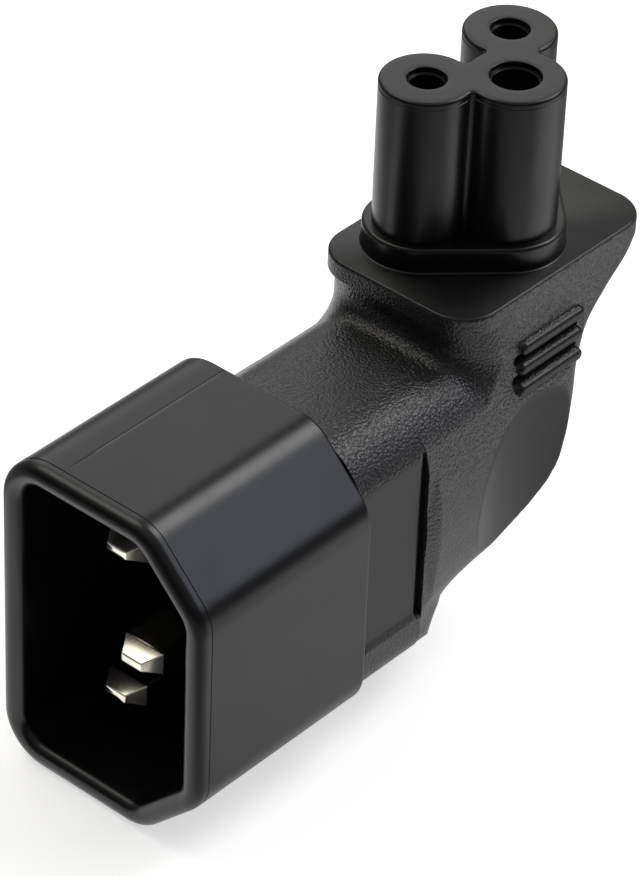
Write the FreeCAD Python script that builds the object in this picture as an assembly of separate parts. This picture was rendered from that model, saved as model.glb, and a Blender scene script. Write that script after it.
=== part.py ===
import FreeCAD, Part
import math
import os

# Right-angle mains adapter: a hooded three-blade plug (C14 form), turned up through 90 degrees
# to a three-lobed socket nose (C5 form). Millimetres.
#
# Everything is drawn in the plug's frame: the mouth is the plane y = 0 and looks along -Y, the middle
# of the blades is x = z = 0, and the nose points along +Z. At the end each piece is moved so that the
# origin lies on the standing surface, under the middle of the whole adapter.

# Plug shroud, seen into its mouth: a rectangle with two bevelled corners on the earth side
SHROUD_HALF_WIDTH = 10.3
SHROUD_HALF_HEIGHT = 14.55
SHROUD_BEVEL = 5.8
SHROUD_LENGTH = 19.2
SHROUD_WALL = 1.95
SHROUD_FLOOR = 2.0
SQUARE_CORNER_ROUND = 3.6
BEVEL_ROUND = 3.0
RIM_BEVEL = 0.65
REAR_EDGE_BEVEL = 0.25
SPIGOT_HALF_WIDTH = 7.0
SPIGOT_HALF_HEIGHT = 10.5
SPIGOT_LENGTH = 2.5
SPIGOT_ROUND = 2.0

# Blades
BLADE_WIDTH = 4.0
BLADE_THICKNESS = 2.0
LINE_NEUTRAL_SPACING = 14.0
EARTH_OFFSET = 4.0
LIVE_TIP_Y = 4.1
EARTH_TIP_Y = 1.55
TIP_WIDTH = 2.05
TIP_THICKNESS = 0.7
TIP_LENGTH = 1.5
BLADE_END_Y = 22.6
TAB_WIDTH = 2.4
TAB_THICKNESS = 1.0
TAB_END_Y = 26.0

# Socket nose
NOSE_X = -2.6
NOSE_Y = 43.9
NOSE_TOP = 32.7
CONTACT_SPACING = 10.0
NOSE_EARTH_OFFSET = 4.65
LIVE_LOBE_RADIUS = 3.74
EARTH_LOBE_RADIUS = 4.0
LOBE_EDGE_BEVEL = 0.2
COLLAR_MARGIN = 0.76
COLLAR_HEIGHT = 2.15
COLLAR_EDGE_BEVEL = 0.25
ANCHOR_HALF_WIDTH = 7.3
ANCHOR_FRONT = 33.8
ANCHOR_BACK = 51.9
ANCHOR_THICKNESS = 1.4
NOSE_BASE_DEPTH = 3.2
MOUTH_DEPTH = 0.5
LIVE_MOUTH_RADIUS = 1.55
LIVE_HOLE_RADIUS = 1.35
EARTH_MOUTH_RADIUS = 2.03
EARTH_HOLE_RADIUS = 1.8

# Sprung contact sleeves, rolled from thin sheet, and how deep they lie in the nose
SLEEVE_WALL = 0.25
SLEEVE_SLIT = 0.5
SLEEVE_LENGTH = 9.5
SLEEVE_WEB = 0.5
SLEEVE_DEPTH = 3.4
SLEEVE_TOP = NOSE_TOP - SLEEVE_DEPTH
BARREL_RADIUS = 1.25
BARREL_LENGTH = 4.0
BARREL_FOOT = SLEEVE_TOP - SLEEVE_LENGTH - SLEEVE_WEB - BARREL_LENGTH

# Inner wires
CONDUCTOR_RADIUS = 0.5
INSULATION_RADIUS = 0.85
WIRE_SIDES = 8

# Where each wire leaves its blade's line, and the height at which it turns up under its contact
WIRE_TURN_Y = {"line": 30.0, "neutral": 30.0, "earth": 31.0}
WIRE_TURN_Z = {"line": 10.6, "neutral": 12.2, "earth": 10.8}

# Overmould neck: an octagon a little inside the shroud's outline, with its underside flush to stand on
NECK_HALF_WIDTH = 9.4
NECK_TOP = 13.3
NECK_BOTTOM = -SHROUD_HALF_HEIGHT
NECK_UPPER_BEVEL = 4.8
NECK_LOWER_BEVEL = 5.55
NECK_ROUND = 3.0

# Overmould flange, a flat plate with an eased edge, and the shoulder behind the neck
FLANGE_TOP = 17.7
FLANGE_THICKNESS = 1.6
FLANGE_HALF_WIDTH = 8.0
FLANGE_FRONT = 32.3
FLANGE_BACK = 55.4
FLANGE_ROUND = 3.4
FLANGE_EDGE_BEVEL = 0.25
SHOULDER_FRONT = 26.9

# Riser front: it leans back from the flange to the neck, and its side walls splay to run out of the sides
# (each end: height, front, half width)
RISER_UPPER = (18.0, 32.12, 7.5)
RISER_LOWER = (2.0, 35.3, 10.06)
RISER_SPLAY = 0.18
RISER_DEPTH = 30.0
FOOT_ROUND = 1.8

# Where the neck's bevels turn down into the sides of the elbow
KNEE_HALF_WIDTH = 8.75
KNEE_ROUND = 4.0
KNEE_LEAN = math.radians(20)
CLEAR_HALF_WIDTH = 13.0
CLEAR_LENGTH = 39.0

# Elbow sections below the flange: height, back, front half width, rear half width, rear corner round
ELBOW_SECTIONS = [
    (FLANGE_TOP - FLANGE_THICKNESS, FLANGE_BACK, FLANGE_HALF_WIDTH, FLANGE_HALF_WIDTH, FLANGE_ROUND),
    (13.4, 52.6, 8.25, 8.2, 3.8),
    (11.0, 49.9, 8.65, 8.5, 4.2),
    (8.6, 48.3, 9.2, 9.1, 4.5),
    (5.0, 47.2, 9.85, 9.8, 4.8),
    (1.5, 46.2, 10.1, 10.0, 4.6),
    (-1.0, 45.4, 9.95, 9.8, 4.4),
    (-3.0, 43.8, 9.75, 9.4, 4.4),
    (-4.3, 42.0, 9.6, 8.75, 4.6),
    (-5.3, 39.8, 9.5, 7.85, 4.8),
    (-6.5, 35.2, 9.4, 7.4, 5.0),
    (-7.6, 33.6, 9.3, 8.0, 5.0),
    (-9.2, 32.3, 9.25, 8.4, 5.0),
    (NECK_BOTTOM, 32.3, 9.2, 6.8, 5.3),
]
CORNER_FACETS = 4

# Thumb scoops: cylinders that stand nearly upright beside the elbow
SCOOP_RADIUS = 32.0
SCOOP_Y = 39.8
SCOOP_Z = -0.3
SCOOP_FLOOR_X = 9.05
SCOOP_LEAN = 0.0375

# Grip ribs with a groove between neighbours, and the recessed side panel
RIB_COUNT = 3
RIB_TOP_Z = 13.0
RIB_PITCH = 1.63
RIB_SHIFT = -0.5
RIB_HALF_WIDTH = 0.45
RIB_HEIGHT = 0.5
RIB_ROOT = 1.2
RIB_EDGE_BEVEL = 0.25
RIB_FRONT = 38.2
RIB_LENGTH = 7.6
GROOVE_HALF_WIDTH = 0.34
GROOVE_DEPTH = 0.4
PANEL_X = 9.25
PANEL_BOTTOM = -6.3
PANEL_TOP = 9.1

ALONG_Y = FreeCAD.Vector(0, 1, 0)
ALONG_Z = FreeCAD.Vector(0, 0, 1)
MORE_THAN_ENOUGH = 60.0
ALMOST = 0.98
TOUCHING = 1e-3


def corner_arcs(corners, radii):
    """For each flat corner, its arc's centre, radius, first bearing and turn."""
    arcs = []
    for index, radius in enumerate(radii):
        corner = FreeCAD.Vector(*corners[index], 0)
        before = (FreeCAD.Vector(*corners[index - 1], 0) - corner).normalize()
        after = (FreeCAD.Vector(*corners[(index + 1) % len(corners)], 0) - corner).normalize()
        half = before.getAngle(after) / 2
        side = 1 if after.cross(before).z > 0 else -1
        centre = corner + (before + after).normalize() * (radius / math.sin(half))
        bearing = math.atan2(side * before.x, -side * before.y)
        arcs.append((centre, radius, bearing, side * (math.pi - 2 * half)))
    return arcs


def on_arc(arc, share):
    """Flat point on a corner's arc, at a share of its turn."""
    centre, radius, bearing, turn = arc
    angle = bearing + share * turn
    return centre + FreeCAD.Vector(math.cos(angle), math.sin(angle), 0) * radius


def rounded_wire(corners, radii, place):
    """Closed wire through flat corners, each rounded by its own radius; place(a, b) puts a point in space."""
    arcs = corner_arcs(corners, radii)
    edges = []
    for index, arc in enumerate(arcs):
        following = on_arc(arcs[(index + 1) % len(arcs)], 0)
        turning = [on_arc(arc, share) for share in (0, 0.5, 1)]
        start, middle, end = [place(point.x, point.y) for point in turning]
        if radii[index]:
            edges.append(Part.Arc(start, middle, end).toShape())
        edges.append(Part.LineSegment(end, place(following.x, following.y)).toShape())
    return Part.Wire(edges)


def facetted_loop(corners, radii, place):
    """Points of the same outline, with each round corner drawn as a few flats."""
    points = []
    for arc in corner_arcs(corners, radii):
        steps = CORNER_FACETS if arc[1] else 0
        flat = [on_arc(arc, step / max(steps, 1)) for step in range(steps + 1)]
        points += [place(point.x, point.y) for point in flat]
    return points


def flat_face(points):
    """Flat face inside a loop of points."""
    return Part.Face(Part.makePolygon(points + points[:1]))


def facetted_solid(loops):
    """Solid with flat faces between successive loops of equally many points, closed by its end loops."""
    faces = [flat_face(loops[0]), flat_face(loops[-1])]
    for near, far in zip(loops, loops[1:]):
        for index in range(len(near)):
            here, there = near[index - 1], near[index]
            over_here, over_there = far[index - 1], far[index]
            if here.x + there.x > 0:
                faces += [flat_face([here, there, over_there]), flat_face([here, over_there, over_here])]
            else:
                faces += [flat_face([here, there, over_here]), flat_face([there, over_there, over_here])]
    solid = Part.Solid(Part.Shell(faces))
    if solid.Volume < 0:
        solid.reverse()
    return solid.removeSplitter()


def prism(wire, length, direction):
    """Solid swept straight from a flat closed wire."""
    return Part.Face(wire).extrude(direction * length)


def shroud_outline(inset, y):
    """Outline of the plug shroud, moved inwards by inset, in the plane of the given y."""
    width = SHROUD_HALF_WIDTH - inset
    height = SHROUD_HALF_HEIGHT - inset
    bevel = SHROUD_BEVEL - inset * (2 - math.sqrt(2))
    corners = [(-width, -height), (width - bevel, -height), (width, -height + bevel),
               (width, height - bevel), (width - bevel, height), (-width, height)]
    square = SQUARE_CORNER_ROUND - inset
    bevelled = BEVEL_ROUND - inset
    radii = [square, bevelled, bevelled, bevelled, bevelled, square]
    return rounded_wire(corners, radii, lambda a, b: FreeCAD.Vector(a, y, b))


def rectangle(width, height, y, x, z):
    """Corners of a rectangle across the plug's axis, centred on x and z."""
    signs = [(-1, -1), (1, -1), (1, 1), (-1, 1)]
    return [FreeCAD.Vector(x + a * width / 2, y, z + b * height / 2) for a, b in signs]


def blade_places():
    """Centre and tip of each blade: name, x, z and tip y."""
    live_x = -EARTH_OFFSET / 2
    half = LINE_NEUTRAL_SPACING / 2
    return [("line", live_x, half, LIVE_TIP_Y), ("neutral", live_x, -half, LIVE_TIP_Y),
            ("earth", EARTH_OFFSET / 2, 0.0, EARTH_TIP_Y)]


def blade(x, z, tip_y):
    """Flat blade with a bevelled tip, its root through the shroud's floor and a narrow tab behind."""
    tip = rectangle(TIP_WIDTH, TIP_THICKNESS, tip_y, x, z)
    bar = [rectangle(BLADE_WIDTH, BLADE_THICKNESS, y, x, z) for y in (tip_y + TIP_LENGTH, BLADE_END_Y)]
    tab = [rectangle(TAB_WIDTH, TAB_THICKNESS, y, x, z) for y in (BLADE_END_Y, TAB_END_Y)]
    return facetted_solid([tip] + bar).fuse(facetted_solid(tab)).removeSplitter()


def edges_in_plane(shape, axis, value):
    """Edges that lie wholly in the plane where one coordinate has the given value."""
    return [edge for edge in shape.Edges
            if all(abs(getattr(vertex.Point, axis) - value) < TOUCHING for vertex in edge.Vertexes)]


def shroud(blades):
    """Hood with a bevelled lip, a floor that carries the blades and a spigot that the overmould grips."""
    hood = prism(shroud_outline(0, 0), SHROUD_LENGTH, ALONG_Y)
    hood = hood.makeChamfer(REAR_EDGE_BEVEL, edges_in_plane(hood, "y", SHROUD_LENGTH))
    hood = hood.cut(prism(shroud_outline(SHROUD_WALL, 0), SHROUD_LENGTH - SHROUD_FLOOR, ALONG_Y))
    hood = hood.makeChamfer(RIM_BEVEL, edges_in_plane(hood, "y", 0))
    corners = [(-SPIGOT_HALF_WIDTH, -SPIGOT_HALF_HEIGHT), (SPIGOT_HALF_WIDTH, -SPIGOT_HALF_HEIGHT),
               (SPIGOT_HALF_WIDTH, SPIGOT_HALF_HEIGHT), (-SPIGOT_HALF_WIDTH, SPIGOT_HALF_HEIGHT)]
    spigot = rounded_wire(corners, [SPIGOT_ROUND] * 4, lambda a, b: FreeCAD.Vector(a, SHROUD_LENGTH, b))
    hood = hood.fuse(prism(spigot, SPIGOT_LENGTH, ALONG_Y))
    return hood.cut(blades)


def contact_places():
    """Each way through the nose: name, centre, lobe, mouth and hole radii."""
    live = (LIVE_LOBE_RADIUS, LIVE_MOUTH_RADIUS, LIVE_HOLE_RADIUS)
    earth = (EARTH_LOBE_RADIUS, EARTH_MOUTH_RADIUS, EARTH_HOLE_RADIUS)
    half = CONTACT_SPACING / 2
    return [("line", NOSE_X, NOSE_Y - half) + live, ("neutral", NOSE_X, NOSE_Y + half) + live,
            ("earth", NOSE_X + NOSE_EARTH_OFFSET, NOSE_Y) + earth]


def lobes(bottom, height):
    """The three round lobes as one solid."""
    posts = [Part.makeCylinder(lobe, height, FreeCAD.Vector(x, y, bottom))
             for name, x, y, lobe, mouth, hole in contact_places()]
    return posts[0].fuse(posts[1:]).removeSplitter()


def lobe_hull(margin, bottom, height):
    """Prism over the taut outline round the three lobes: arcs joined by their outer tangents."""
    places = {name: (FreeCAD.Vector(x, y, bottom), lobe + margin)
              for name, x, y, lobe, mouth, hole in contact_places()}
    around = [places[name] for name in ("line", "earth", "neutral")]
    tangents = []
    for index, (centre, radius) in enumerate(around):
        far_centre, far_radius = around[(index + 1) % 3]
        run = far_centre - centre
        lean = math.acos((radius - far_radius) / run.Length)
        bearing = math.atan2(run.y, run.x) - lean
        normal = FreeCAD.Vector(math.cos(bearing), math.sin(bearing), 0)
        tangents.append((centre + normal * radius, far_centre + normal * far_radius))
    edges = []
    for index, (leaves, arrives) in enumerate(tangents):
        edges.append(Part.LineSegment(leaves, arrives).toShape())
        centre, radius = around[(index + 1) % 3]
        onward = tangents[(index + 1) % 3][0]
        outward = ((arrives - centre).normalize() + (onward - centre).normalize()).normalize()
        edges.append(Part.Arc(arrives, centre + outward * radius, onward).toShape())
    return prism(Part.Wire(edges), height, ALONG_Z)


def nose_base():
    """Foot of the nose in the overmould: the collar's outline carried down, and an anchor plate across it."""
    bottom = FLANGE_TOP - NOSE_BASE_DEPTH
    plate = Part.makeBox(2 * ANCHOR_HALF_WIDTH, ANCHOR_BACK - ANCHOR_FRONT, ANCHOR_THICKNESS,
                         FreeCAD.Vector(-ANCHOR_HALF_WIDTH, ANCHOR_FRONT, bottom))
    return lobe_hull(COLLAR_MARGIN, bottom, NOSE_BASE_DEPTH).fuse(plate)


def socket_nose():
    """Three bored lobes on a collar, with a base that the overmould holds."""
    collar_top = FLANGE_TOP + COLLAR_HEIGHT
    base_bottom = FLANGE_TOP - NOSE_BASE_DEPTH
    nose = lobes(collar_top, NOSE_TOP - collar_top)
    nose = nose.makeChamfer(LOBE_EDGE_BEVEL, edges_in_plane(nose, "z", NOSE_TOP))
    collar = lobe_hull(COLLAR_MARGIN, FLANGE_TOP, COLLAR_HEIGHT)
    collar = collar.makeChamfer(COLLAR_EDGE_BEVEL, edges_in_plane(collar, "z", collar_top))
    nose = nose.fuse([collar, nose_base()]).removeSplitter()
    cuts = []
    for name, x, y, lobe, mouth, hole in contact_places():
        cuts.append(Part.makeCylinder(mouth, MOUTH_DEPTH, FreeCAD.Vector(x, y, NOSE_TOP - MOUTH_DEPTH)))
        cuts.append(Part.makeCylinder(hole, NOSE_TOP - base_bottom, FreeCAD.Vector(x, y, base_bottom)))
    return nose.cut(cuts)


def contact(x, y, hole):
    """Slit spring sleeve that fills its hole, with a closed crimp barrel below for the conductor."""
    sleeve_foot = FreeCAD.Vector(x, y, SLEEVE_TOP - SLEEVE_LENGTH)
    sleeve = Part.makeCylinder(hole, SLEEVE_LENGTH, sleeve_foot)
    sleeve = sleeve.cut(Part.makeCylinder(hole - SLEEVE_WALL, SLEEVE_LENGTH, sleeve_foot))
    slit = Part.makeBox(hole, SLEEVE_SLIT, SLEEVE_LENGTH, sleeve_foot - ALONG_Y * (SLEEVE_SLIT / 2))
    web = Part.makeCylinder(hole, SLEEVE_WEB, sleeve_foot - ALONG_Z * SLEEVE_WEB)
    barrel = Part.makeCylinder(BARREL_RADIUS, BARREL_LENGTH, FreeCAD.Vector(x, y, BARREL_FOOT))
    return sleeve.cut(slit).fuse([web, barrel]).removeSplitter()


def creased_wire(points, radius):
    """Bar with WIRE_SIDES flats along straight runs, mitred at each turn; the first run goes along +Y."""
    around = [math.tau * (side + 0.5) / WIRE_SIDES for side in range(WIRE_SIDES)]
    loop = [points[0] + FreeCAD.Vector(math.cos(a), 0, math.sin(a)) * radius for a in around]
    loops = [loop]
    for index in range(1, len(points)):
        run = (points[index] - points[index - 1]).normalize()
        last = index == len(points) - 1
        onward = run if last else (points[index + 1] - points[index]).normalize()
        normal = run + onward
        loop = [point + run * ((points[index] - point).dot(normal) / run.dot(normal)) for point in loop]
        loops.append(loop)
    return facetted_solid(loops)


def wire_routes():
    """Route of each wire from its blade's tab up to its contact's barrel."""
    base_bottom = FLANGE_TOP - NOSE_BASE_DEPTH
    routes = {}
    contacts = {row[0]: row for row in contact_places()}
    for name, x, z, tip in blade_places():
        end_x, end_y = contacts[name][1:3]
        start = FreeCAD.Vector(x, TAB_END_Y, z)
        jacket_start = FreeCAD.Vector(x, TAB_END_Y + INSULATION_RADIUS, z)
        turn_in = FreeCAD.Vector(x, WIRE_TURN_Y[name], z)
        turn_up = FreeCAD.Vector(end_x, end_y, WIRE_TURN_Z[name])
        jacket_end = FreeCAD.Vector(end_x, end_y, base_bottom)
        end = FreeCAD.Vector(end_x, end_y, BARREL_FOOT + BARREL_LENGTH)
        routes[name] = ([start, turn_in, turn_up, end], [jacket_start, turn_in, turn_up, jacket_end])
    return routes


def neck_corners():
    """Octagon of the neck, from the lower right corner anticlockwise, its bevels kept on their own lines."""
    width = NECK_HALF_WIDTH
    half = [(width - NECK_LOWER_BEVEL, NECK_BOTTOM), (width, NECK_BOTTOM + NECK_LOWER_BEVEL),
            (width, NECK_TOP - NECK_UPPER_BEVEL), (width - NECK_UPPER_BEVEL, NECK_TOP)]
    return half + [(-a, b) for a, b in reversed(half)]


def neck():
    """Octagonal neck between the shroud and the elbow, with the smooth panel sunk in one side."""
    outline = rounded_wire(neck_corners(), [NECK_ROUND] * 8, lambda a, b: FreeCAD.Vector(a, SHROUD_LENGTH, b))
    bar = prism(outline, SHOULDER_FRONT - SHROUD_LENGTH, ALONG_Y)
    panel = Part.makeBox(MORE_THAN_ENOUGH, SHOULDER_FRONT - SHROUD_LENGTH, PANEL_TOP - PANEL_BOTTOM,
                         FreeCAD.Vector(PANEL_X, SHROUD_LENGTH, PANEL_BOTTOM))
    return bar.cut(panel)


def beyond_neck(apex, bevel, upward, length):
    """Everything beyond the neck's top (upward 1) or bottom (upward -1), with its bevels and side turns."""
    flat = NECK_HALF_WIDTH - bevel
    knee = apex - upward * (KNEE_HALF_WIDTH - flat)
    run_out = knee - upward * (CLEAR_HALF_WIDTH - KNEE_HALF_WIDTH) / math.tan(KNEE_LEAN)
    half = [(flat, apex), (KNEE_HALF_WIDTH, knee), (CLEAR_HALF_WIDTH, run_out),
            (CLEAR_HALF_WIDTH, upward * MORE_THAN_ENOUGH)]
    corners = half + [(-a, b) for a, b in reversed(half)]
    radii = [NECK_ROUND, KNEE_ROUND, 0, 0]
    outline = rounded_wire(corners, radii + radii[::-1], lambda a, b: FreeCAD.Vector(a, 0, b))
    return prism(outline, length, ALONG_Y)


def riser_loop(z, front, width):
    """Sharp riser outline at one height, its sides splayed towards the back."""
    near = width - RISER_SPLAY * FLANGE_ROUND
    far = near + RISER_SPLAY * RISER_DEPTH
    corners = [(-near, front), (near, front), (far, front + RISER_DEPTH), (-far, front + RISER_DEPTH)]
    return [FreeCAD.Vector(a, b, z) for a, b in corners]


def over_neck():
    """Space over the neck in front of the riser, its rear foot rounded to leave a fillet on the riser."""
    upper, lower = riser_loop(*RISER_UPPER), riser_loop(*RISER_LOWER)
    riser = facetted_solid([upper, lower])
    middles = [(upper[corner] + lower[corner]) / 2 for corner in (0, 1)]
    upright = [edge for edge in riser.Edges
               if any(edge.CenterOfMass.distanceToPoint(middle) < TOUCHING for middle in middles)]
    riser = riser.makeFillet(FLANGE_ROUND, upright)
    space = beyond_neck(NECK_TOP, NECK_UPPER_BEVEL, 1, CLEAR_LENGTH).cut(riser)
    foot = []
    for edge in space.Edges:
        points = edge.discretize(3)
        low = all(point.z < NECK_TOP + TOUCHING for point in points)
        if low and all(riser.distToShape(Part.Vertex(point))[0] < TOUCHING for point in points):
            foot.append(edge)
    return space.makeFillet(FOOT_ROUND, foot)


def elbow():
    """Loft from the flange to the neck's underside, cut back over the neck to leave the riser's front."""
    loops = []
    for z, back, front_width, rear_width, rear_round in ELBOW_SECTIONS:
        corners = [(-front_width, SHOULDER_FRONT), (front_width, SHOULDER_FRONT), (rear_width, back),
                   (-rear_width, back)]
        radii = [0, 0, rear_round, rear_round]
        loops.append(facetted_loop(corners, radii, lambda a, b, z=z: FreeCAD.Vector(a, b, z)))
    under_neck = beyond_neck(NECK_BOTTOM, NECK_LOWER_BEVEL, -1, MORE_THAN_ENOUGH)
    return facetted_solid(loops).cut([over_neck(), under_neck])


def flange():
    """Flat plate under the nose with rounded corners and an eased upper edge."""
    width = FLANGE_HALF_WIDTH
    corners = [(-width, FLANGE_FRONT), (width, FLANGE_FRONT), (width, FLANGE_BACK), (-width, FLANGE_BACK)]
    bottom = FLANGE_TOP - FLANGE_THICKNESS
    outline = rounded_wire(corners, [FLANGE_ROUND] * 4, lambda a, b: FreeCAD.Vector(a, b, bottom))
    plate = prism(outline, FLANGE_THICKNESS, ALONG_Z)
    return plate.makeChamfer(FLANGE_EDGE_BEVEL, edges_in_plane(plate, "z", FLANGE_TOP))


def side_half_width(z):
    """Half width of the elbow at a height, between its sections."""
    for upper, lower in zip(ELBOW_SECTIONS, ELBOW_SECTIONS[1:]):
        if lower[0] <= z <= upper[0]:
            share = (upper[0] - z) / (upper[0] - lower[0])
            return upper[2] + share * (lower[2] - upper[2])
    raise ValueError("height outside the elbow")


def side_bar(side, row, half_width, inner, outer):
    """Round-ended bar on one side of the elbow, at a row counted down from the top rib."""
    z = RIB_TOP_Z - row * RIB_PITCH
    front = RIB_FRONT + row * RIB_SHIFT
    back = front + RIB_LENGTH
    low, high = z - half_width, z + half_width
    corners = [(front, low), (back, low), (back, high), (front, high)]
    crest = side * (side_half_width(z) + outer)
    outline = rounded_wire(corners, [half_width * ALMOST] * 4, lambda a, b: FreeCAD.Vector(crest, a, b))
    return prism(outline, outer - inner, FreeCAD.Vector(-side, 0, 0)), crest


def grip_ribs(side):
    """Ribs that run fore and aft on one side of the elbow, rooted in it, with eased crests."""
    ribs = []
    for row in range(RIB_COUNT):
        bar, crest = side_bar(side, row, RIB_HALF_WIDTH, -RIB_ROOT, RIB_HEIGHT)
        ribs.append(bar.makeChamfer(RIB_EDGE_BEVEL, edges_in_plane(bar, "x", crest)))
    return ribs


def grip_grooves(side):
    """Shallow grooves between the ribs of one side."""
    return [side_bar(side, row + 0.5, GROOVE_HALF_WIDTH, -GROOVE_DEPTH, RIB_HEIGHT)[0]
            for row in range(RIB_COUNT - 1)]


def scoop(side):
    """Cylinder that hollows one side of the elbow for a thumb."""
    axis = FreeCAD.Vector(side * SCOOP_LEAN, 0, 1).normalize()
    middle = FreeCAD.Vector(side * (SCOOP_FLOOR_X + SCOOP_RADIUS), SCOOP_Y, SCOOP_Z)
    return Part.makeCylinder(SCOOP_RADIUS, 2 * MORE_THAN_ENOUGH, middle - axis * MORE_THAN_ENOUGH, axis)


def overmould(inner):
    """Grained body moulded round everything else."""
    body = elbow().cut([scoop(-1), scoop(1)] + grip_grooves(-1) + grip_grooves(1))
    body = body.fuse([neck(), flange()] + grip_ribs(-1) + grip_ribs(1)).removeSplitter()
    return body.cut(inner)


def main():
    """Builds every piece, moves it to the standing frame and writes it."""
    pieces = {}
    for name, x, z, tip in blade_places():
        pieces["blade_" + name] = blade(x, z, tip)
    pieces["plug_shroud"] = shroud(list(pieces.values()))
    pieces["socket_nose"] = socket_nose()
    for name, x, y, lobe, mouth, hole in contact_places():
        pieces["contact_" + name] = contact(x, y, hole)
    for name, (core, jacket) in wire_routes().items():
        conductor = creased_wire(core, CONDUCTOR_RADIUS)
        pieces["conductor_" + name] = conductor
        pieces["insulation_" + name] = creased_wire(jacket, INSULATION_RADIUS).cut(conductor)
        pieces["contact_" + name] = pieces["contact_" + name].cut(conductor)
    inner = [shape for name, shape in pieces.items() if name != "socket_nose"] + [nose_base()]
    pieces["body_overmould"] = overmould(inner)
    middle = FreeCAD.Vector(0, -FLANGE_BACK / 2, SHROUD_HALF_HEIGHT)
    os.makedirs("parts", exist_ok=True)
    for name, shape in pieces.items():
        shape.translate(middle)
        shape.exportStep("parts/" + name + ".step")


if __name__ == "__main__":
    main()
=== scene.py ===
import math

import bmesh
import bpy
import numpy as np
from bpy.props import FloatProperty, FloatVectorProperty, PointerProperty
from mathutils import Matrix, Vector


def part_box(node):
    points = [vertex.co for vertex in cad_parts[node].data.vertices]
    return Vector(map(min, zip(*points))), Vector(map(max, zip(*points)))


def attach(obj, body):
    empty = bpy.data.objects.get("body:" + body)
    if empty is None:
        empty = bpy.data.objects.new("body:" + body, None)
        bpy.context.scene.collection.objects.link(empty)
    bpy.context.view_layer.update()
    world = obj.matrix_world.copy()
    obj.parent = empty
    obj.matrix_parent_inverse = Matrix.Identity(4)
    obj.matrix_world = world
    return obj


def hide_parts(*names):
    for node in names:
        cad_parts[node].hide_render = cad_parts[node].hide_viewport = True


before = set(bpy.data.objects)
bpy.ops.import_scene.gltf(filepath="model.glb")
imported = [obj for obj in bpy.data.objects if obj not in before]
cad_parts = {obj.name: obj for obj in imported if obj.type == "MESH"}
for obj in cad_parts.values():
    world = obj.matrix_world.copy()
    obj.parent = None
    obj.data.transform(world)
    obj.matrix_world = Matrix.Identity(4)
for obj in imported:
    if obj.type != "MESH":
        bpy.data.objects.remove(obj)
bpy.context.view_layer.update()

bl_info = {
    "name": "Right-angle mains adapter",
    "version": (1, 0, 0),
    "blender": (4, 5, 0),
    "location": "View3D > Sidebar > Adapter",
    "description": "Dresses the packed frame of a hooded plug, grained elbow and lobed socket nose",
    "category": "Object",
}

# All shapes are worked out in millimetres from the middle of the plug's mouth: x to the bevelled side,
# y into the plug, z up towards the nose.
MM = 0.001
HOOD_LOW, HOOD_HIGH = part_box("plug_shroud")
MOUTH = np.array([(HOOD_LOW.x + HOOD_HIGH.x) / 2, HOOD_LOW.y, (HOOD_LOW.z + HOOD_HIGH.z) / 2])
HALF_WIDTH = (HOOD_HIGH.x - HOOD_LOW.x) / 2
HALF_HEIGHT = (HOOD_HIGH.z - HOOD_LOW.z) / 2
NOSE_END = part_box("socket_nose")[1].z - MOUTH[2]

# Points of one piece that lie closer than this, in metres, become one
MERGE = 2e-7

# Hood: rounds of the square and the bevelled corners, and how far the latter run along the top
SQUARE_ROUND, BEVEL_ROUND, BEVEL_ROUND_RUN = 4.2, 3.8, 1.575
# Mould line along the hood: its place across the top, half width, where it starts behind the lip and its fade
SEAM_X, SEAM_HALF, SEAM_START, SEAM_FADE = -4.7, 0.07, 1.5, 3
SEAM_MARKS = np.array([-0.25, -0.12, -0.06, 0, 0.06, 0.12, 0.25])
# Mould lines round the hood's lip and the nose's end: how far from that end one edge, both sides of the floor
# and the other edge lie
LIP_JOINT = (1.4, 1.35, 1.25, 1.2)
NOSE_JOINT = (0.46, 0.5, 0.6, 0.64)

# Blades: x, z and how far the tip lies behind the mouth, and where all three end
BLADES = {"line": (-2, 7, 4.1), "neutral": (-2, -7, 4.1), "earth": (2, 0, 1.55)}
BLADE_END = 22.6

# Neck: where it starts and ends along y, and its side, top and bottom
NECK_FRONT, SHOULDER = 19.2, 26.9
NECK_SIDE, NECK_TOP, NECK_BOTTOM = 9.4, 13.3, -14.55
# The upper right corner is a round to a side that leans in by SIDE_LEAN degrees about the height LEAN_Z. The
# others are 45 degree bevels, each given by the sum of x and z on it, both taken as positive.
CROWN, CORNER_ROUND, SIDE_LEAN, LEAN_Z = 60, 3.6, 8, 8.4
UPPER_BEVEL, LOWER_BEVEL, BEVEL_EASE = 17.9, 18.4, 0.9
# Knee, where a bevel turns into the elbow's side: half width, upper and lower height, lean in degrees, ease
KNEE_SIDE, KNEE_HIGH, KNEE_LOW, KNEE_LEAN, KNEE_EASE = 8.75, 9.15, -9.65, 20, 0.4
# Smooth panel: half width, lower and upper edge, then its groove's depth, start before the shoulder and run
PANEL_SIDE, PANEL_LOW, PANEL_HIGH = 9.12, -6.0, 9.6
GROOVE_DEPTH, GROOVE_START, GROOVE_RUN = 0.4, 0.6, 0.4

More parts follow.
